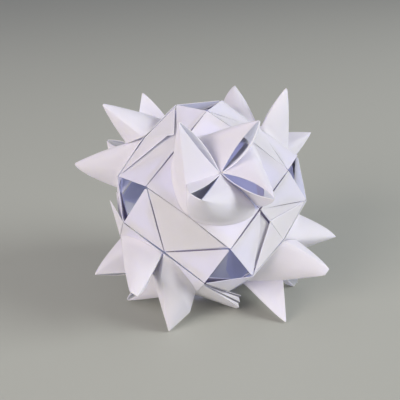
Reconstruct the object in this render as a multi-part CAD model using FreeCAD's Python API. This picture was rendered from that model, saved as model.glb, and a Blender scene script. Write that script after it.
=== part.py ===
import FreeCAD, Part
import math
import os

os.makedirs("parts", exist_ok=True)

# A kusudama ball of folded white paper, made from twelve alike sheets.
# Every sheet makes half of one flower face: two small squares that meet at the
# flower's hub, a pointed paper cone on each, a triangular tab that tucks under
# the neighbours, and two triangular pockets that hold the neighbours' tabs.
# Six flowers, twelve strips between them and eight open triangular windows
# make the body. The ball rests on the cone tips round one window.

V = FreeCAD.Vector

# Sizes in millimetres
square_side = 25.0          # small square of a flower, a quarter of the sheet's side
paper = 0.4                 # folded layers of one sheet
layer_gap = 0.3             # air between a tab and the pocket over it
seam_gap = 0.3              # air between two sheets that meet side by side
hub_rise = 7.8              # hub of a flower above the flower's flat frame
ridge_rise = 2.3            # middle of the tab's fold above the flower's flat frame
pocket_tip_cut = 2.2        # blunt end of each triangular pocket
cone_a_height = 26.8        # tip of the first cone above the flower's flat frame
cone_a_lean_out = 2.7       # tip of the first cone past the frame's edge
cone_a_lean_side = 1.2      # tip of the first cone past its seam
cone_b_lean_out = -0.4      # tip of the second cone past the frame's edge
cone_b_lean_side = 0.5      # tip of the second cone past its seam
cone_foot_bulge = 3.8       # foot of a cone past the square's diagonal
cone_belly = 1.6            # roundness of a cone's side, halfway up
mouth_width = 5.0           # widest opening between a cone's two paper edges
tip_stub = 4.5              # closed, layered end of a cone
tip_width = 0.9             # blunt end of a cone
tab_tuck = 3.8              # width of the tab's margin under each pocket
tab_hold = 2.5              # depth of the tab's root under the flower's edge
tab_apex_back = 0.6         # tab's point short of the next flower
tab_step = 1.2              # length of the small step down at the tab's root
cone_clear = 0.24           # cone's foot back from the seam between two sheets
foot_apart = 0.1            # cone's foot beside the fold that the sheet's two cones share
lifted_corner = 5.0         # narrowing of the one tab that has slipped out
lifted_height = 12.4        # how far that tab's point stands off the strip
lifted_shift = 8.2          # how far it leans along the strip
lifted_back = 3.1           # how far it draws back from the next flower
lifted_end = 3.4            # width of that tab's blunt end
lifted_paper = 0.8          # its opened layers

# Where a cone is divided into facets: from the hub to its ridge, from the
# ridge round its front to the wall, and from its foot to its closed end.
# The second cone's wall is bent at the knee level of the first cone's ridge.
side_shares = (0.0, 0.45, 0.9)
front_shares = (0.1, 0.3, 0.5, 0.75, 1.0)
level_shares = (0.0, 0.3, 0.65, 1.0)
knee_level = 1

# Worked out from the sizes above
face_height = square_side * (1.0 + 1.0 / math.sqrt(2.0))
strip_out = V(0, -1, 1).normalize()
strip_down = V(0, -1, -1).normalize()
tab_depth = paper + layer_gap
seat = 0.4 * paper          # how far fused layers reach into each other
# The second cone's tip is level with the first one's when the ball stands
cone_b_height = (
    cone_a_height + cone_a_lean_out - cone_a_lean_side
    - cone_b_lean_out - cone_b_lean_side
)

# Landmarks of one sheet, with its flower facing +Z and its tab towards -Y
hub = V(0, 0, face_height + hub_rise)
corner_left = V(-square_side, -square_side, face_height)
corner_right = V(square_side, -square_side, face_height)
mid_left = V(-square_side, 0, face_height)
mid_right = V(square_side, 0, face_height)
mid_tab = V(0, -square_side, face_height + ridge_rise)
pocket_left = V(-face_height, -square_side, square_side)
pocket_right = V(face_height, -square_side, square_side)
tab_apex = V(0, -face_height, square_side)
tip_a = V(-square_side - cone_a_lean_out, cone_a_lean_side, face_height + cone_a_height)
tip_b = V(-cone_b_lean_side, -square_side - cone_b_lean_out, face_height + cone_b_height)


def towards(start, end, distance):
    """The point at a distance from start on the way to end."""
    return start + (end - start).normalize() * distance


def facet_normal(corners):
    """Unit normal of a facet whose corners run counter-clockwise from outside."""
    return (corners[1] - corners[0]).cross(corners[2] - corners[0]).normalize()


def solid_of(facets):
    """A closed solid from flat triangular facets."""
    faces = []
    for corners in facets:
        outline = Part.makePolygon(list(corners) + [corners[0]])
        faces.append(Part.Face(outline))
    solid = Part.Solid(Part.Shell(faces))
    if solid.Volume < 0:
        solid.reverse()
    return solid


def thick_sheet(points, triangles, thickness):
    """Paper over a net of triangles; the net is its outer side."""
    normals = {name: [] for name in points}
    directed = set()
    for triangle in triangles:
        normal = facet_normal([points[name] for name in triangle])
        for index, name in enumerate(triangle):
            normals[name].append(normal)
            directed.add((name, triangle[(index + 1) % 3]))
    inner = {}
    for name, around in normals.items():
        mean = V(0, 0, 0)
        for normal in around:
            mean += normal
        mean.normalize()
        slant = sum(mean.dot(normal) for normal in around) / len(around)
        inner[name] = points[name] - mean * (thickness / slant)
    facets = []
    for a, b, c in triangles:
        facets.append((points[a], points[b], points[c]))
        facets.append((inner[a], inner[c], inner[b]))
    for a, b in directed:
        if (b, a) not in directed:
            facets.append((points[a], inner[a], points[b]))
            facets.append((inner[a], inner[b], points[b]))
    return solid_of(facets)


def split(quads):
    """Each four-cornered facet as two triangles."""
    triangles = []
    for a, b, c, d in quads:
        triangles.append((a, b, c))
        triangles.append((a, c, d))
    return triangles


def flower_half():
    """Two squares of the flower and the two pockets beside them."""
    inset = seam_gap / 2.0
    points = {
        "hub": hub + V(0, -inset, 0),
        "corner_left": corner_left,
        "corner_right": corner_right,
        "mid_left": mid_left + V(inset / 2.0, -inset, 0),
        "mid_right": mid_right + V(-inset / 2.0, -inset, 0),
        "mid_tab": mid_tab,
        "end_left": towards(pocket_left, corner_left, pocket_tip_cut),
        "end_right": towards(pocket_right, corner_right, pocket_tip_cut),
    }
    for side, mid, pocket in (("left", mid_left, pocket_left), ("right", mid_right, pocket_right)):
        slope = towards(pocket, mid, pocket_tip_cut)
        inward = (points["corner_" + side] - mid).normalize()
        points["slope_" + side] = slope + inward * seam_gap
    triangles = [
        ("corner_left", "mid_tab", "mid_left"),
        ("mid_tab", "hub", "mid_left"),
        ("mid_tab", "corner_right", "mid_right"),
        ("mid_tab", "mid_right", "hub"),
    ]
    triangles += split([
        ("corner_left", "mid_left", "slope_left", "end_left"),
        ("corner_right", "end_right", "slope_right", "mid_right"),
    ])
    return thick_sheet(points, triangles, paper)


def tab(lifted):
    """The triangular tab, one layer below the flower and the pockets."""
    across = V(1, 0, 0)
    back = V(0, 1, 0)
    corner_inset = lifted_corner if lifted else tab_step
    root = V(0, 0, seat - paper)
    points = {}
    corners = (("left", corner_left, 1.0), ("right", corner_right, -1.0))
    for side, corner, sign in corners:
        under = corner + across * (sign * corner_inset)
        points["deep_" + side] = under + back * tab_hold + root
        points["root_" + side] = under + back * (tab_step / 2.0) + root
        points["step_" + side] = under + strip_down * tab_step - strip_out * tab_depth
    hub_way = (hub - mid_tab).normalize()
    points["deep_mid"] = mid_tab + hub_way * tab_hold + root
    points["root_mid"] = mid_tab + hub_way * (tab_step / 2.0) + root
    points["step_mid"] = mid_tab + strip_down * tab_step - strip_out * tab_depth
    quads = [
        ("root_left", "root_mid", "deep_mid", "deep_left"),
        ("root_mid", "root_right", "deep_right", "deep_mid"),
        ("step_left", "step_mid", "root_mid", "root_left"),
        ("step_mid", "step_right", "root_right", "root_mid"),
    ]
    apex = tab_apex - strip_down * tab_apex_back - strip_out * tab_depth
    if lifted:
        raised = apex + strip_out * lifted_height - strip_down * lifted_back
        raised -= across * lifted_shift
        points["apex_left"] = raised - across * (lifted_end / 2.0)
        points["apex_right"] = raised + across * (lifted_end / 2.0)
        triangles = split(quads) + [
            ("apex_left", "step_mid", "step_left"),
            ("apex_left", "apex_right", "step_mid"),
            ("apex_right", "step_right", "step_mid"),
        ]
        return thick_sheet(points, triangles, lifted_paper)
    points["apex"] = apex
    for side, corner, sign in corners:
        halfway = (corner + tab_apex) / 2.0 - strip_out * tab_depth
        points["tuck_" + side] = halfway - across * (sign * tab_tuck * math.sqrt(2.0))
    triangles = split(quads) + [
        ("apex", "step_mid", "step_left"),
        ("apex", "step_right", "step_mid"),
        ("apex", "step_left", "tuck_left"),
        ("tuck_right", "step_right", "apex"),
    ]
    return thick_sheet(points, triangles, paper)


def cone(side_corner, wall_corner, outer_corner, tip, side_shift, wall_shift, knee):
    """One pointed cone over the inner half of a square, and its ridge's points.

    Its side rises from the seam between hub and side_corner, goes round past the
    square's diagonal, and comes back as a wall on the seam between hub and
    wall_corner. The mouth is between the side's free edge and the wall's. Where a
    knee is given, the wall is bent there, on the ridge of the cone beside it.
    """
    sink = V(0, 0, -seat)
    hub_side = hub + side_shift + sink
    corner_side = side_corner + side_shift + sink
    hub_wall = hub + wall_shift + sink
    corner_wall = wall_corner + wall_shift + sink
    diagonal_mid = (corner_side + corner_wall) / 2.0
    bulge_way = (outer_corner - (side_corner + wall_corner) / 2.0).normalize()

    feet = []
    for share in side_shares:
        feet.append(hub_side + (corner_side - hub_side) * share)
    for share in front_shares:
        on_diagonal = corner_side + (corner_wall - corner_side) * share
        bulge = 4.0 * share * (1.0 - share) * cone_foot_bulge
        feet.append(on_diagonal + bulge_way * bulge)

    axis_foot = (diagonal_mid + hub_side) / 2.0
    reach = (tip - hub_side).Length
    stub_start = 1.0 - tip_stub / reach
    levels = [stub_start * share for share in level_shares]
    last = len(feet) - 1
    wall_normal = (corner_wall - hub_wall).cross(tip - hub_wall).normalize()
    if wall_normal.dot(axis_foot - hub_wall) > 0:
        wall_normal = -wall_normal

    points = {}
    for column, foot in enumerate(feet):
        free = max(0.0, 1.0 - column / 2.0)
        for row, level in enumerate(levels):
            spine = axis_foot + (tip - axis_foot) * level
            straight = foot + (tip - foot) * level
            swell = math.sin(math.pi * level)
            round_way = (straight - spine).normalize()
            belly = cone_belly * swell * math.sin(math.pi * column / last)
            opening = -wall_normal * (mouth_width * swell * free)
            points[(column, row)] = straight + round_way * belly + opening
    quads = []
    for column in range(last):
        for row in range(len(levels) - 1):
            quads.append((
                (column, row), (column + 1, row),
                (column + 1, row + 1), (column, row + 1),
            ))
    side = thick_sheet(points, split(quads), paper)

    wall_net = {"tip": towards(tip, hub_wall, tip_stub / 2.0)}
    wall_net["corner"] = corner_wall
    wall_net["hub"] = hub_wall
    wall_facets = [("hub", "corner", "tip")]
    if knee:
        wall_net["knee"] = knee
        wall_facets = [("hub", "knee", "tip"), ("knee", "corner", "tip")]
    wall = thick_sheet(wall_net, wall_facets, paper)

    top = len(levels) - 1
    ring = []
    for column in range(len(feet)):
        ring.append(towards(points[(column, top)], points[(column, top - 1)], seat))
    ring.append(towards(hub_wall, tip, (tip - hub_wall).Length * stub_start - seat))
    centre = V(0, 0, 0)
    for point in ring:
        centre += point * (1.0 / len(ring))
    ring = [towards(point, centre, -seat) for point in ring]
    small = [tip + (point - centre) * (tip_width / tip_stub) for point in ring]
    facets = []
    count = len(ring)
    for index in range(count):
        after = (index + 1) % count
        facets.append((ring[index], ring[after], small[after]))
        facets.append((ring[index], small[after], small[index]))
        facets.append((ring[after], ring[index], centre))
        facets.append((small[index], small[after], tip))
    ridge = [points[(len(side_shares) - 1, row)] for row in range(len(levels))]
    return [side, wall, solid_of(facets)], ridge


def folded_sheet(lifted):
    """One whole sheet as a single solid."""
    first, ridge = cone(
        mid_tab, mid_left, corner_left, tip_a,
        V(-foot_apart, -cone_clear, 0), V(seam_gap / 2.0, -cone_clear, 0), None,
    )
    second, _ = cone(
        mid_right, mid_tab, corner_right, tip_b,
        V(0, -cone_clear, 0), V(foot_apart, -cone_clear, 0), ridge[knee_level],
    )
    body = flower_half()
    for piece in [tab(lifted)] + first + second:
        body = body.fuse(piece)
    return body.removeSplitter()


def standing():
    """Turn from the flower's own axes to the ball as it stands on a table."""
    turn = FreeCAD.Matrix()
    rows = (V(1, 1, 0).normalize(), V(-1, 1, -2).normalize(), V(-1, 1, 1).normalize())
    turn.A11, turn.A12, turn.A13 = rows[0]
    turn.A21, turn.A22, turn.A23 = rows[1]
    turn.A31, turn.A32, turn.A33 = rows[2]
    return turn


def turns():
    """The twelve places of a sheet: three axis orders by four pairs of signs."""
    places = []
    for shift in range(3):
        for signs in ((1, 1, 1), (1, -1, -1), (-1, 1, -1), (-1, -1, 1)):
            rows = [[0.0] * 3 for _ in range(3)]
            for row in range(3):
                rows[row][(row + shift) % 3] = float(signs[row])
            place = FreeCAD.Matrix()
            place.A11, place.A12, place.A13 = rows[0]
            place.A21, place.A22, place.A23 = rows[1]
            place.A31, place.A32, place.A33 = rows[2]
            places.append(place)
    return places


plain = folded_sheet(False)
slipped = folded_sheet(True)
slipped_hinge = V(1, -1, 0)
for number, place in enumerate(turns(), start=1):
    hinge = place.multVec(V(0, -1, 1))
    is_slipped = (hinge - slipped_hinge).Length < 0.1
    shape = (slipped if is_slipped else plain).copy()
    shape.transformShape(standing().multiply(place))
    name = "paper_unit_%02d" % number
    shape.exportStep("parts/%s.step" % name)
    print(name, shape.ShapeType, len(shape.Solids), shape.isValid(), round(shape.Volume, 1), is_slipped)
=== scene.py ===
import math

import bpy
from mathutils import Matrix, Vector, noise


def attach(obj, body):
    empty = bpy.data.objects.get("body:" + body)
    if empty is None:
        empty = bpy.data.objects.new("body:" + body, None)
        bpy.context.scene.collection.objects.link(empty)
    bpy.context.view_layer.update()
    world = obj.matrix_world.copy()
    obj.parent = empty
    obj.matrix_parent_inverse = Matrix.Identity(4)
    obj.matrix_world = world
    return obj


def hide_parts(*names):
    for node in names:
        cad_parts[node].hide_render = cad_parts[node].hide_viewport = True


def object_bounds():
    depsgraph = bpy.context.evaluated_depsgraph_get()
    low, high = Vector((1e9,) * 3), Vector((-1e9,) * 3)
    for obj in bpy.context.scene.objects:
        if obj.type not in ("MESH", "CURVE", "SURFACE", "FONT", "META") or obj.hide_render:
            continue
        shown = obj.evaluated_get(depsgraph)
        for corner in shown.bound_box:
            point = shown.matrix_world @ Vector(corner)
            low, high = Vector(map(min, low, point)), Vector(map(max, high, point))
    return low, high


# A kusudama ball of folded white paper: twelve sheets, six flowers of four cones.
# Lengths are in metres. Shapes are worked out with a flower facing +Z and its
# tab towards -Y, then turned to the sheet's place on the standing ball.

# Sizes shared with the part's source
SIDE = 0.025
FACE = SIDE * (1.0 + 1.0 / math.sqrt(2.0))
HUB_RISE = 0.0078
RIDGE_RISE = 0.0023
CONE_A_HEIGHT = 0.0268
CONE_A_OUT = 0.0027
CONE_A_SIDE = 0.0012
CONE_B_OUT = -0.0004
CONE_B_SIDE = 0.0005
CONE_B_HEIGHT = CONE_A_HEIGHT + CONE_A_OUT - CONE_A_SIDE - CONE_B_OUT - CONE_B_SIDE
FOOT_BULGE = 0.0038
TAB_DEPTH = 0.0007
LIFTED_HEIGHT = 0.0124
LIFTED_SHIFT = 0.0082
LIFTED_BACK = 0.0031

# Layers, slits and margins of the folded paper
PAPER = 0.00028
CONE_PAPER = 0.00036
SLIT = 0.0005
GROOVE_WIDE = 0.0011
GROOVE_NARROW = 0.0006
LAYER_STEP = 0.0006
LAYER_DEEP = 0.0018
LAYER_SLIP = 0.02
POCKET_CUT = 0.0016
POCKET_BEND = 0.4
MARGIN_SIDE = 0.0050
MARGIN_ROOT = 0.0025
HEM_INSIDE = 0.0020
HEM_OUTSIDE = 0.0030
HEM_START = 0.08

# The slipped tab's opened layers: where each end stands, its width and its fold
OPENED_INWARD = (0.0, 0.0026, 0.0058)
OPENED_BACK = 0.0010
OPENED_FAR = 0.0036
OPENED_NEAR = 0.0044
OPENED_FOLD = 0.0021
OPENED_FOLD_STEP = 0.0006

# Meshes
PANEL_LEVELS = 4
CREASE_PASSES = 3
SHARP_ANGLE = math.radians(32)
CONE_ROWS = 32
SIDE_STEPS = 14
FRONT_STEPS = 20
WALL_STEPS = 12
FOLD_REACH = 4

# Unevenness of hand-folded paper
WAVE = 0.00022
WAVE_PITCH = 70.0
STRAY = 0.0022
SEEDS = {"left": 20, "right": 40, "layers": 60, "tab": 70, "tab_step": 20, "a": 80, "b": 120}

# Paper finish
ROUGHNESS = 0.62
SPECULAR = 0.28
THROUGH = 0.9
THROUGH_TINT = (0.8, 0.8, 1.0)
THROUGH_OUTSIDE = 0.0010
THROUGH_INSIDE = 0.0060
MOTTLE_PITCH = 55.0
MOTTLE_DARK = 0.965
FIBRE_PITCH = 1800.0
FIBRE_HEIGHT = 0.00005

# Camera, as the photograph was taken
CAMERA_AZIMUTH = -9.82
CAMERA_ELEVATION = 20.93
CAMERA_ROLL = -3.32
CAMERA_DISTANCE = 0.350
AIM_RIGHT = 0.00369
AIM_UP = -0.00042
LENS = 57.1

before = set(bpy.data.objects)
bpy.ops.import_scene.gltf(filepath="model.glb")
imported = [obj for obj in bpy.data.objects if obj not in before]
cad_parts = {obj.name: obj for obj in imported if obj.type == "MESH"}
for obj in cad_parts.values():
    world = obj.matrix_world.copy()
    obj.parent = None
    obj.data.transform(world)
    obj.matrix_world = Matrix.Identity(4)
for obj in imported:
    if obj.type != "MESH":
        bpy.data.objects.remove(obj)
cad_low, cad_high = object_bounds()

HUB = Vector((0, 0, FACE + HUB_RISE))
CORNER_LEFT = Vector((-SIDE, -SIDE, FACE))
CORNER_RIGHT = Vector((SIDE, -SIDE, FACE))
MID_LEFT = Vector((-SIDE, 0, FACE))
MID_RIGHT = Vector((SIDE, 0, FACE))
MID_TAB = Vector((0, -SIDE, FACE + RIDGE_RISE))
POCKET_LEFT = Vector((-FACE, -SIDE, SIDE))
POCKET_RIGHT = Vector((FACE, -SIDE, SIDE))
TIP_A = Vector((-SIDE - CONE_A_OUT, CONE_A_SIDE, FACE + CONE_A_HEIGHT))
TIP_B = Vector((-CONE_B_SIDE, -SIDE - CONE_B_OUT, FACE + CONE_B_HEIGHT))
STRIP_OUT = Vector((0, -1, 1)).normalized()
STRIP_DOWN = Vector((0, -1, -1)).normalized()
ACROSS = Vector((1, 0, 0))
BACK = Vector((0, 1, 0))
UP = Vector((0, 0, 1))

STANDING = Matrix((
    Vector((1, 1, 0)).normalized(),
    Vector((-1, 1, -2)).normalized(),
    Vector((-1, 1, 1)).normalized(),
))


def places():
    """The twelve turns of a sheet: three axis orders by four pairs of signs."""
    found = []
    for shift in range(3):
        for signs in ((1, 1, 1), (1, -1, -1), (-1, 1, -1), (-1, -1, 1)):
            rows = [[0.0] * 3 for _ in range(3)]
            for row in range(3):
                rows[row][(row + shift) % 3] = float(signs[row])
            found.append(Matrix(rows))
    return found


# Paper as a mesh


def refine(points, triangles, levels):
    """Each triangle split in four, as often as levels says."""
    points = list(points)
    for _ in range(levels):
        middles = {}
        finer = []
        for triangle in triangles:
            half = []
            for index in range(3):
                pair = tuple(sorted((triangle[index], triangle[(index + 1) % 3])))
                if pair not in middles:
                    middles[pair] = len(points)
                    points.append((points[pair[0]] + points[pair[1]]) / 2)
                half.append(middles[pair])
            a, b, c = triangle
            finer += [(a, half[0], half[2]), (half[0], b, half[1])]
            finer += [(half[2], half[1], c), tuple(half)]
        triangles = finer
    return points, triangles


def edges_of(faces):
    """Directed edges of the faces."""
    directed = set()
    for face in faces:
        for index, corner in enumerate(face):
            directed.add((corner, face[(index + 1) % len(face)]))
    return directed


def soften(points, faces, passes):
    """Rounds the creases: points inside the sheet move towards their neighbours."""
    directed = edges_of(faces)
    rim = {a for a, b in directed if (b, a) not in directed}
    rim |= {b for a, b in directed if (b, a) not in directed}
    near = {index: set() for index in range(len(points))}
    for a, b in directed:
        near[a].add(b)
        near[b].add(a)
    for _ in range(passes):
        moved = list(points)
        for index, others in near.items():
            if index not in rim and others:
                middle = sum((points[other] for other in others), Vector()) / len(others)
                moved[index] = points[index].lerp(middle, 0.5)
        points = moved
    return points


def normals_of(points, faces):
    """Mean normal at each point."""
    normals = [Vector() for _ in points]
    for face in faces:
        corners = [points[index] for index in face]
        area = (corners[1] - corners[0]).cross(corners[-1] - corners[0])
        for index in face:
            normals[index] += area
    return [normal.normalized() for normal in normals]


def wavy(points, faces, amount, seed):
    """Slight unevenness of hand-folded paper, across the sheet."""
    shifted = []
    for point, normal in zip(points, normals_of(points, faces)):
        spot = point * WAVE_PITCH + Vector((seed * 3.1, seed * 1.7, seed * 0.9))
        shifted.append(point + normal * (amount * noise.noise(spot)))
    return shifted


def paper_piece(name, points, faces, place, thickness=PAPER, outside="paper", covered=0):
    """A thick sheet whose outer side is the given net.

    The first faces, as many as covered says, lie in a cone and take the inside material, a bluer copy
    of the paper that paints the shade inside the cone.
    """
    count = len(points)
    inner = [p - n * thickness for p, n in zip(points, normals_of(points, faces))]
    turn = STANDING @ place
    spots = [turn @ p for p in list(points) + inner]
    directed = edges_of(faces)
    rim = [(a, b) for a, b in directed if (b, a) not in directed]
    rim.sort()
    polygons = [tuple(face) for face in faces]
    polygons += [tuple(count + index for index in reversed(face)) for face in faces]
    polygons += [(b, a, count + a, count + b) for a, b in rim]
    mesh = bpy.data.meshes.new(name)
    mesh.from_pydata(spots, [], polygons)
    piece = bpy.data.objects.new(name, mesh)
    bpy.context.scene.collection.objects.link(piece)
    for material in (outside, "inside", "edge"):
        mesh.materials.append(MATERIALS[material])
    for polygon in mesh.polygons:
        polygon.use_smooth = True
        # Rim faces take the edge material, a lighter copy of the paper: painted highlight.
        if polygon.index >= 2 * len(faces):
            polygon.material_index = 2
        # Back faces and covered faces take the inside material, a bluer copy of the paper: painted
        # shade.
        elif polygon.index >= len(faces) or polygon.index < covered:
            polygon.material_index = 1
    mesh.set_sharp_from_angle(angle=SHARP_ANGLE)
    mesh.validate()
    return piece


# The flat parts of a sheet


def towards(start, end, distance):
    """The point at a distance from start on the way to end."""
    return start + (end - start).normalized() * distance


def fan(corners):
    """Triangles round the first corner."""
    return [(0, index, index + 1) for index in range(1, len(corners) - 1)]


def panel(name, place, seed, points, triangles, outside="paper", covered=0):
    """One flat part of a sheet, with softened creases and uneven as paper is.

    Its first triangles, as many as covered says, lie in a cone.
    """
    covered *= 4 ** PANEL_LEVELS
    points, triangles = refine(points, triangles, PANEL_LEVELS)
    points = soften(points, triangles, CREASE_PASSES)
    points = wavy(points, triangles, WAVE, seed)
    return paper_piece(name, points, triangles, place, outside=outside, covered=covered)


def squares(name, place, seed):
    """The two small squares of the flower that this sheet makes."""
    half = SLIT / 2
    points = [
        HUB - BACK * half,
        MID_LEFT + ACROSS * half - BACK * half,
        CORNER_LEFT,
        MID_TAB,
        CORNER_RIGHT,
        MID_RIGHT - ACROSS * half - BACK * half,
    ]
    hub, mid_l, left, mid_tab, right, mid_r = range(6)
    triangles = [
        (mid_tab, hub, mid_l), (mid_tab, mid_r, hub),
        (left, mid_tab, mid_l), (mid_tab, right, mid_r),
    ]
    return panel(name, place, seed, points, triangles, covered=2)


def pocket_frame(side):
    """Corner, middle, point and outward way of the pocket on one side."""
    if side == "left":
        return CORNER_LEFT, MID_LEFT, POCKET_LEFT, -(ACROSS + UP).normalized()
    return CORNER_RIGHT, MID_RIGHT, POCKET_RIGHT, (ACROSS - UP).normalized()


# How far a pocket comes out over its tab and gapes, by sheet and side
POCKET_OPEN = {(1, "right"): (0.0024, 0.0), (10, "right"): (0.0012, 0.0040)}


def pocket(name, place, number, side):
    """A triangular pocket beside a square; a groove parts them at the frame's edge."""
    corner, mid, tip, out = pocket_frame(side)
    inward = (corner - mid).normalized()
    reach, lift = POCKET_OPEN.get((number, side), (0.0, 0.0))
    facing = (UP + ACROSS * (-1 if side == "left" else 1)).normalized()
    points = [
        corner + out * GROOVE_NARROW,
        mid + out * GROOVE_WIDE + inward * SLIT,
        mid.lerp(tip, POCKET_BEND) - inward * reach + facing * lift,
        towards(tip, mid, POCKET_CUT) + inward * SLIT / 2,
        towards(tip, corner, POCKET_CUT),
    ]
    triangles = fan(points)
    if side == "right":
        triangles = [(a, c, b) for a, b, c in triangles]
    return panel(name, place, number + SEEDS[side], points, triangles)


def tab_spot(x, y, height=0.0):
    """A point of the strip: x across the tab, y from its root to its point."""
    ridge = max(0.0, 1.0 - abs(x) - y)
    spot = Vector((x * SIDE, -SIDE, FACE)) + STRIP_DOWN * (y * SIDE)
    return spot + UP * (RIDGE_RISE * ridge) + STRIP_OUT * height


def tab_layer(name, place, seed, corners):
    """One layer of a tab, with its corners given as in tab_spot."""
    points = [tab_spot(*corner) for corner in corners]
    return panel(name, place, seed, points, fan(corners))


# The tabs' layers by the way that the tab hangs from its flower: corners of each
# layer as across, along and height, from the root's middle and from left to right
TAB_LAYERS = {
    (0, -1, 1): [
        [(0, .015), (-.965, .02), (0, .945), (.90, .03)],
        [(0, .03), (-.93, .03, -LAYER_STEP), (0, .97, -.0008), (.965, .03, -.0012)],
    ],
    (1, 0, 1): [
        [(0, .03), (0, .60, .0003), (.95, .03)],
        [(0, .10, -.0010), (.02, .90, -.0018), (.90, .06, -.0014)],
        [(-.005, .03), (-.97, .02), (-.01, .62, .0006)],
        [(-.02, .2, -.0006), (-.96, .02, -.0003), (-.01, .965, -.0002), (-.03, .5, -.0006)],
    ],
    (-1, 0, 1): [
        [(0, .05), (-.95, .05), (.17, .60, .0018), (.27, .65, .0004), (.93, .05)],
        [(0, .07, -.0012), (-.97, .03, -.0008), (.0, .96, -LAYER_STEP), (.93, .05, -.0012)],
    ],
    (0, 1, 1): [
        [(0, .03), (-.95, .03), (-.02, .93, .0004), (.95, .03)],
        [
            (0, .05, -LAYER_STEP), (-.96, .03, -LAYER_STEP),
            (0, .97, -LAYER_STEP), (.97, .03, -LAYER_STEP),
        ],
    ],
    (-1, -1, 0): [
        [(0, .03), (-.90, .05), (-.25, .70, .0048), (.10, .74, .0036), (.92, .05)],
        [(0, .05, -LAYER_STEP), (-.94, .04, -LAYER_STEP), (0, .94, .0007), (.95, .04, -LAYER_STEP)],
    ],
}


def tab_layers(hinge, seed):
    """The layers of one tab, or two layers with small slips of their own."""
    if hinge in TAB_LAYERS:
        return TAB_LAYERS[hinge]
    spots = [Vector((seed * 1.3, index * 2.1, 0.6)) for index in range(4)]
    slip = [LAYER_SLIP * noise.noise(spot) for spot in spots]
    low = -LAYER_STEP
    return [
        [(0, .02), (-.96 - slip[0], .02), (slip[1], .945 + slip[2], .0002), (.95 + slip[3], .02)],
        [(0, .04, low), (-.95, .03, low), (slip[3], .975, low), (.965, .03, low)],
    ]


def slipped_tab(name, place, seed):
    """The tab that has come out of its pockets: an open fold with a blunt end."""
    point = tab_spot(0, 0.975, -TAB_DEPTH)
    raised = point + STRIP_OUT * LIFTED_HEIGHT - STRIP_DOWN * LIFTED_BACK - ACROSS * LIFTED_SHIFT
    made = []
    for layer, inward in enumerate(OPENED_INWARD):
        points = [tab_spot(x, 0.02, -0.0003 * (layer + 1)) for x in (-0.80, 0.0, 0.80)]
        end = raised - STRIP_OUT * inward + STRIP_DOWN * (OPENED_BACK * layer)
        points.append(end - ACROSS * OPENED_FAR)
        points.append(end + ACROSS * OPENED_NEAR)
        triangles = [(3, 1, 0), (3, 4, 1), (4, 2, 1)]
        if layer < len(OPENED_INWARD) - 1:
            points.append(points[-1] - STRIP_OUT * (OPENED_FOLD + OPENED_FOLD_STEP * layer))
            triangles.append((4, 5, 2))
        made.append(panel(name + "_%d" % layer, place, seed + layer, points, triangles))
    return made


def under_layers(name, place, seed):
    """Hidden layers: the tab's margins under its neighbours and the pockets' hems, in a dark copy of
    the paper that paints the shade in the slits above them.
    """
    deep = -LAYER_DEEP
    points = [tab_spot(x, 0.0, deep) + BACK * MARGIN_ROOT for x in (-0.96, 0.0, 0.96)]
    points.append(tab_spot(0, 0.97, deep))
    for sign in (-1, 1):
        points.append(tab_spot(0.5 * sign, 0.5, deep) + ACROSS * (MARGIN_SIDE * sign))
    triangles = [(1, 0, 3), (1, 3, 2), (0, 4, 3), (3, 5, 2)]
    for side, toward_hub in (("left", ACROSS), ("right", -ACROSS)):
        corner, mid, _, out = pocket_frame(side)
        first = len(points)
        sink = UP * (deep * 0.9)
        start = corner.lerp(mid, HEM_START)
        points.append(start + toward_hub * HEM_INSIDE + sink)
        points.append(mid + toward_hub * HEM_INSIDE + sink - BACK * SLIT)
        points.append(mid + out * HEM_OUTSIDE + sink - BACK * SLIT)
        points.append(start + out * HEM_OUTSIDE + sink)
        quad = [(first, first + 1, first + 2), (first, first + 2, first + 3)]
        if side == "right":
            quad = [(a, c, b) for a, b, c in quad]
        triangles += quad
    return panel(name, place, seed, points, triangles, outside="hidden")


# The cones


def outward(corner, hub, tip, inside):
    """Normal of the face that holds a corner, the hub and the tip, away from the inside."""
    normal = (corner - hub).cross(tip - hub).normalized()
    return -normal if normal.dot(inside - hub) > 0 else normal


def swell_at(level, kink):
    """How far a cone's sides stand out at a level: rounded, or bent at one kink."""
    if kink:
        return min(level / kink, (1.0 - level) / (1.0 - kink))
    return math.sin(math.pi * level) ** 0.9


def soften_fold(grid, fold, passes):
    """Rounds the fold that runs up a cone along one column."""
    last = len(grid[0]) - 1
    near = range(max(1, fold - FOLD_REACH), min(last, fold + FOLD_REACH + 1))
    for _ in range(passes):
        for line in grid:
            moved = {c: line[c].lerp((line[c - 1] + line[c + 1]) / 2, 0.5) for c in near}
            for c, spot in moved.items():
                line[c] = spot


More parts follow.
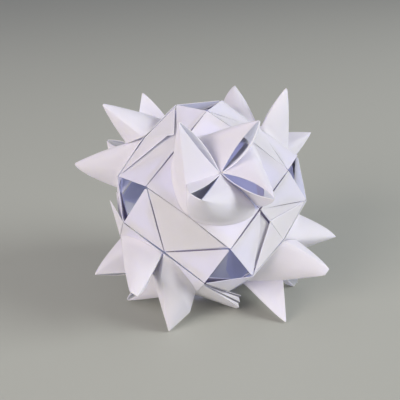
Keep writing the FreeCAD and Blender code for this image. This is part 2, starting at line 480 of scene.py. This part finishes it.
def cone_net(hub, side_corner, wall_corner, outer_corner, tip, shape, ridge_tip=None):
    """One cone as a single curled sheet.

    It starts at the free edge from hub to tip, goes down over the side to the
    ridge, round the front, over the fold at the wall, and back to the hub along
    the wall's own free edge. The mouth lies between the two free edges. Where the
    tip of the cone beside it is given, the wall is bent on that cone's ridge.
    """
    inside = (wall_corner + side_corner + hub) / 3
    side_normal = outward(side_corner, hub, tip, inside)
    wall_normal = outward(wall_corner, hub, tip, inside)
    free_end = tip - wall_normal * shape["beak_free"]
    wall_end = tip + wall_normal * shape["beak_wall"]
    bulge_way = (outer_corner - (side_corner + wall_corner) / 2).normalized()
    lateral = (wall_corner - side_corner).normalized()
    knee_up = shape["knee"]
    knee_at = knee_up + 0.03
    if ridge_tip is not None:
        knee_shift = wall_corner.lerp(ridge_tip, knee_up) - wall_corner.lerp(hub, knee_at)

    grid = []
    for row in range(CONE_ROWS + 1):
        level = (1.0 - shape["blunt"]) * row / CONE_ROWS
        swell = swell_at(level, shape["kink"])
        side_swell = math.sin(math.pi * level ** shape["side_skew"])
        foot_flare = shape["flare"] * max(0.0, 1.0 - level / 0.16) ** 2

        def rise(foot, fullness, end):
            keep = (1.0 - level) ** (1.0 + (shape["full"] - 1.0) * fullness)
            return end.lerp(inside, 1.0 - level) + (foot - inside) * keep

        line = []
        for step in range(SIDE_STEPS):
            s = step / SIDE_STEPS
            spot = rise(hub.lerp(side_corner, s), s, free_end)
            spot += side_normal * (shape["side_belly"] * side_swell * math.sin(math.pi * s))
            spot -= wall_normal * (shape["mouth_free"] * swell * (1 - s) ** 2)
            spot -= lateral * (shape["spread"] * swell * s)
            line.append(spot)
        for step in range(FRONT_STEPS):
            s = step / FRONT_STEPS
            arch = 4 * s * (1 - s)
            foot = side_corner.lerp(wall_corner, s) + bulge_way * (shape["foot"] * arch)
            spot = rise(foot, 1.0, free_end.lerp(wall_end, s))
            spot += bulge_way * (shape["front_belly"] * swell * arch)
            spot += bulge_way * (foot_flare * min(1.0, 3 * arch))
            spot += lateral * (shape["spread"] * swell * (2 * s - 1))
            line.append(spot)
        for step in range(WALL_STEPS + 1):
            s = step / WALL_STEPS
            foot = wall_corner.lerp(hub, s)
            if ridge_tip is not None:
                foot += knee_shift * min(s / knee_at, (1 - s) / (1 - knee_at))
            spot = rise(foot, 1.0 - s, wall_end)
            spot += wall_normal * (shape["mouth_wall"] * swell * s * s)
            spot += lateral * (shape["spread"] * swell * (1 - s))
            line.append(spot)
        grid.append(line)

    soften_fold(grid, SIDE_STEPS, shape["ridge_soft"])
    soften_fold(grid, SIDE_STEPS + FRONT_STEPS, shape["wall_soft"])
    points = [spot for line in grid for spot in line]
    columns = len(grid[0])
    faces = []
    for row in range(CONE_ROWS):
        for column in range(columns - 1):
            first = row * columns + column
            faces.append((first, first + columns, first + columns + 1, first + 1))
    return points, faces


# The form of a cone, with lengths in metres. belly: how far a face is rounded; mouth:
# how far a free edge bows; soft: passes that round a fold; blunt: share cut off at the
# tip; beak: half the width of a flat tip; flare and foot: spread of the base; full:
# fuller below 1; kink: level of a bend in the sides; knee: level of the wall's bend.
# Cones that the hand has folded differently have their own values below.
CONE_SHAPE = {
    "side_belly": 0.0008,
    "side_skew": 1.0,
    "front_belly": 0.0010,
    "mouth_free": 0.0024,
    "mouth_wall": 0.0016,
    "ridge_soft": 2,
    "wall_soft": 1,
    "blunt": 0.012,
    "beak_free": 0.0003,
    "beak_wall": 0.0003,
    "flare": 0.0014,
    "foot": FOOT_BULGE,
    "full": 0.92,
    "spread": 0.0004,
    "kink": 0.0,
    "knee": 0.25,
}
OWN_SHAPE = {
    "a01": {"mouth_free": 0.0006, "mouth_wall": 0.0026, "ridge_soft": 1, "side_belly": 0.0002},
    "b01": {
        "full": 0.80, "beak_free": 0.0028, "beak_wall": 0.0026, "ridge_soft": 8, "side_belly": 0.0020,
        "side_skew": 0.6, "mouth_free": 0.0004, "mouth_wall": -0.0008, "foot": 0.0048,
        "front_belly": 0.0026, "knee": 0.35,
    },
    "a04": {"mouth_free": 0.0026, "mouth_wall": 0.0024, "ridge_soft": 6, "side_belly": 0.0014},
    "b04": {"mouth_free": 0.0014, "mouth_wall": 0.0036, "ridge_soft": 3, "knee": 0.16},
    "a06": {"beak_free": 0.0020, "beak_wall": 0.0016, "full": 0.84, "front_belly": 0.0020},
    "b06": {"mouth_free": 0.0030, "mouth_wall": 0.0026},
    "b08": {
        "kink": 0.36, "spread": 0.0050, "full": 1.0, "ridge_soft": 0, "wall_soft": 0,
        "front_belly": 0.0022,
    },
    "a10": {"full": 0.84, "front_belly": 0.0016, "ridge_soft": 6},
    "b10": {"beak_free": 0.0018, "beak_wall": 0.0014, "full": 0.86, "ridge_soft": 5},
    "b09": {"beak_free": 0.0020, "full": 0.80, "mouth_free": 0.0040, "mouth_wall": 0.0030},
    "a11": {"full": 0.80, "front_belly": 0.0016, "ridge_soft": 8},
    "b05": {"full": 0.82, "ridge_soft": 5},
    "a07": {"full": 0.86, "ridge_soft": 2},
}
# How far the tips of some cones stray, in millimetres to the right, away and up
# as the camera sees the ball
TIP_STRAY = {
    "a04": (-0.7, 0.0, 0.1), "a06": (0.9, 0.0, 1.4), "a08": (-0.2, 5.5, 0.9),
    "a09": (1.6, -5.0, 0.0), "a10": (0.7, 0.0, 0.3), "a11": (-0.3, 0.0, 0.4),
    "a12": (2.8, 0.0, -1.5), "b01": (0.5, 0.0, 2.0), "b08": (1.8, 1.2, 0.0),
    "b06": (2.5, 0.0, 0.5), "b10": (1.2, 0.0, -1.1), "b09": (-2.0, -1.1, 0.0),
    "b11": (-0.1, 0.0, 2.3), "b05": (-5.0, 0.0, -0.6),
}


def stray(label, place, number, floor_tip):
    """The way from a tip's drawn place to where the hand has left it, in the sheet's frame."""
    if label in TIP_STRAY:
        right, back, up = (0.001 * part for part in TIP_STRAY[label])
        turn = math.radians(CAMERA_AZIMUTH)
        ahead = Vector((-math.sin(turn), math.cos(turn), 0))
        side = Vector((math.cos(turn), math.sin(turn), 0))
        moved = side * right + ahead * back + UP * up
    else:
        seed = number * 1.7 + (0.0 if label.startswith("a") else 9.0)
        ways = [noise.noise(Vector((seed, 0.3 + axis, 0.7))) for axis in range(3)]
        moved = Vector(ways) * STRAY
        if floor_tip:
            moved.z = 0.0
    return (STANDING @ place).transposed() @ moved


def cones(name, place, number):
    """The two cones of a sheet."""
    seam = -BACK * (SLIT / 2) - UP * 0.0001
    sink = -UP * 0.0001
    made = []
    tips = {}
    for kind, tip in (("a", TIP_A), ("b", TIP_B)):
        floor_tip = (STANDING @ place @ tip).z < cad_low.z + 0.002
        tips[kind] = tip + stray("%s%02d" % (kind, number), place, number, floor_tip)
    for kind in ("a", "b"):
        shape = dict(CONE_SHAPE)
        shape.update(OWN_SHAPE.get("%s%02d" % (kind, number), {}))
        if kind == "a":
            feet = (HUB + seam, MID_TAB + sink, MID_LEFT + seam, CORNER_LEFT)
            net = cone_net(*feet, tips["a"], shape)
        else:
            feet = (HUB + seam, MID_RIGHT + seam, MID_TAB + sink, CORNER_RIGHT)
            net = cone_net(*feet, tips["b"], shape, ridge_tip=tips["a"])
        points = wavy(net[0], net[1], WAVE, number + SEEDS[kind])
        made.append(paper_piece(name + "_cone_" + kind, points, net[1], place, CONE_PAPER))
    return made


# Materials


def paper_material(name, colour, grain, depth):
    """Matte copy paper: faint fibres and mottling, a little light through it."""
    material = bpy.data.materials.new(name)
    material.use_nodes = True
    tree = material.node_tree
    shader = tree.nodes["Principled BSDF"]
    shader.inputs["Roughness"].default_value = ROUGHNESS
    shader.inputs["Specular IOR Level"].default_value = SPECULAR
    shader.inputs["Subsurface Weight"].default_value = THROUGH
    shader.inputs["Subsurface Radius"].default_value = THROUGH_TINT
    shader.inputs["Subsurface Scale"].default_value = depth
    place = tree.nodes.new("ShaderNodeTexCoord")
    mottle = tree.nodes.new("ShaderNodeTexNoise")
    mottle.inputs["Scale"].default_value = MOTTLE_PITCH
    mottle.inputs["Detail"].default_value = 4.0
    ramp = tree.nodes.new("ShaderNodeValToRGB")
    ramp.color_ramp.elements[0].position = 0.3
    ramp.color_ramp.elements[1].position = 0.7
    ramp.color_ramp.elements[0].color = [c * MOTTLE_DARK for c in colour] + [1]
    ramp.color_ramp.elements[1].color = list(colour) + [1]
    fibre = tree.nodes.new("ShaderNodeTexNoise")
    fibre.inputs["Scale"].default_value = FIBRE_PITCH
    fibre.inputs["Detail"].default_value = 3.0
    bump = tree.nodes.new("ShaderNodeBump")
    bump.inputs["Strength"].default_value = grain
    bump.inputs["Distance"].default_value = FIBRE_HEIGHT
    tree.links.new(place.outputs["Object"], mottle.inputs["Vector"])
    tree.links.new(place.outputs["Object"], fibre.inputs["Vector"])
    tree.links.new(mottle.outputs["Fac"], ramp.inputs["Fac"])
    tree.links.new(ramp.outputs["Color"], shader.inputs["Base Color"])
    tree.links.new(fibre.outputs["Fac"], bump.inputs["Height"])
    tree.links.new(bump.outputs["Normal"], shader.inputs["Normal"])
    return material


MATERIALS = {
    "paper": paper_material("white_paper", (0.82, 0.80, 0.89), 0.25, THROUGH_OUTSIDE),
    # inside: a bluer, brighter copy of the paper for the backs of all sheets and the floors of the
    # cones; painted shade, the violet-blue of the shaded insides
    "inside": paper_material("paper_inside_shade_tint", (0.84, 0.87, 1.0), 0.25, THROUGH_INSIDE),
    # hidden: a dark grey-violet copy of the paper on the under-layers; painted shade that darkens the
    # slits and gaps
    "hidden": paper_material("paper_hidden", (0.40, 0.36, 0.42), 0.25, THROUGH_OUTSIDE),
    # edge: a lighter copy of the paper on the cut rims; painted highlight along the edges
    "edge": paper_material("paper_edge_painted_highlight", (0.90, 0.88, 0.93), 0.1, THROUGH_OUTSIDE),
}


# The ball

# The way that the slipped tab hangs from its flower
SLIPPED_HINGE = (1, -1, 0)


def ball():
    """All pieces of the twelve sheets, in the nodes that they stand for."""
    for number, place in enumerate(places(), start=1):
        node = "paper_unit_%02d" % number
        hinge = tuple(round(part) for part in place @ Vector((0, -1, 1)))
        pieces = [squares(node + "_squares", place, number)]
        for side in ("left", "right"):
            pieces.append(pocket(node + "_pocket_" + side, place, number, side))
        pieces.append(under_layers(node + "_layers", place, number + SEEDS["layers"]))
        tab_seed = number + SEEDS["tab"]
        if hinge == SLIPPED_HINGE:
            pieces += slipped_tab(node + "_tab", place, tab_seed)
        else:
            for index, corners in enumerate(tab_layers(hinge, number)):
                name = "%s_tab_%d" % (node, index)
                seed = tab_seed + SEEDS["tab_step"] * index
                pieces.append(tab_layer(name, place, seed, corners))
        pieces += cones(node, place, number)
        for piece in pieces:
            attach(piece, "root")
            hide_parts(node)


# Floor, light and camera


def floor():
    """A plain floor under the tips that the ball stands on."""
    bpy.ops.mesh.primitive_plane_add(size=12.0, location=(0, 0, cad_low.z))
    plane = bpy.context.object
    plane.name = "floor"
    material = bpy.data.materials.new("floor")
    material.use_nodes = True
    shader = material.node_tree.nodes["Principled BSDF"]
    shader.inputs["Base Color"].default_value = (0.47, 0.485, 0.415, 1)
    shader.inputs["Roughness"].default_value = 0.9
    plane.data.materials.append(material)


def direction(azimuth, elevation):
    """Unit vector from the ball, with azimuth 0 towards -Y."""
    turn, lift = math.radians(azimuth), math.radians(elevation)
    return Vector((
        math.sin(turn) * math.cos(lift),
        -math.cos(turn) * math.cos(lift),
        math.sin(lift),
    ))


def area_light(name, azimuth, elevation, distance, size, power, colour):
    """A round lamp that faces the ball."""
    light = bpy.data.lights.new(name, "AREA")
    light.shape = "DISK"
    light.size = size
    light.energy = power
    light.color = colour
    lamp = bpy.data.objects.new(name, light)
    bpy.context.scene.collection.objects.link(lamp)
    away = direction(azimuth, elevation)
    lamp.location = away * distance
    lamp.rotation_mode = "QUATERNION"
    lamp.rotation_quaternion = (-away).to_track_quat("-Z", "Y")


def hollow_light():
    """A faint lamp in the hollow: real paper lets more light in than its shader does."""
    glow = bpy.data.lights.new("through_paper", "POINT")
    glow.shadow_soft_size = 0.02
    glow.energy = 0.015
    glow.color = (0.60, 0.60, 1.0)
    lamp = bpy.data.objects.new("through_paper", glow)
    lamp.visible_camera = False
    bpy.context.scene.collection.objects.link(lamp)


def surroundings():
    """Soft light from all round; the camera sees the floor's colour behind the floor."""
    world = bpy.data.worlds.new("world")
    world.use_nodes = True
    tree = world.node_tree
    sky = tree.nodes["Background"]
    sky.inputs["Color"].default_value = (0.90, 0.89, 1.0, 1)
    sky.inputs["Strength"].default_value = 0.42
    backdrop = tree.nodes.new("ShaderNodeBackground")
    backdrop.inputs["Color"].default_value = (0.32, 0.325, 0.305, 1)
    backdrop.inputs["Strength"].default_value = 1.0
    seen = tree.nodes.new("ShaderNodeLightPath")
    either = tree.nodes.new("ShaderNodeMixShader")
    tree.links.new(seen.outputs["Is Camera Ray"], either.inputs["Fac"])
    tree.links.new(sky.outputs["Background"], either.inputs[1])
    tree.links.new(backdrop.outputs["Background"], either.inputs[2])
    tree.links.new(either.outputs["Shader"], tree.nodes["World Output"].inputs["Surface"])
    bpy.context.scene.world = world


def camera():
    """The photograph's view, rolled and a little off the ball's middle."""
    data = bpy.data.cameras.new("camera")
    data.lens = LENS
    data.sensor_width = 36.0
    eye = bpy.data.objects.new("camera", data)
    bpy.context.scene.collection.objects.link(eye)
    back = direction(CAMERA_AZIMUTH, CAMERA_ELEVATION)
    level = (-back).to_track_quat("-Z", "Y").to_matrix()
    turn = level @ Matrix.Rotation(math.radians(CAMERA_ROLL), 3, "Z")
    right, up = turn.col[0], turn.col[1]
    eye.rotation_mode = "QUATERNION"
    eye.rotation_quaternion = turn.to_quaternion()
    eye.location = back * CAMERA_DISTANCE - right * AIM_RIGHT - up * AIM_UP
    bpy.context.scene.camera = eye


ball()
floor()
area_light(
    "key", azimuth=60, elevation=25, distance=2.4, size=1.4, power=39.0,
    colour=(0.94, 0.95, 1.0),
)
area_light(
    "fill", azimuth=-56, elevation=20, distance=2.4, size=1.8, power=36.0,
    colour=(1.0, 0.89, 0.89),
)
hollow_light()
surroundings()
camera()
bpy.context.scene.view_settings.view_transform = "Standard"
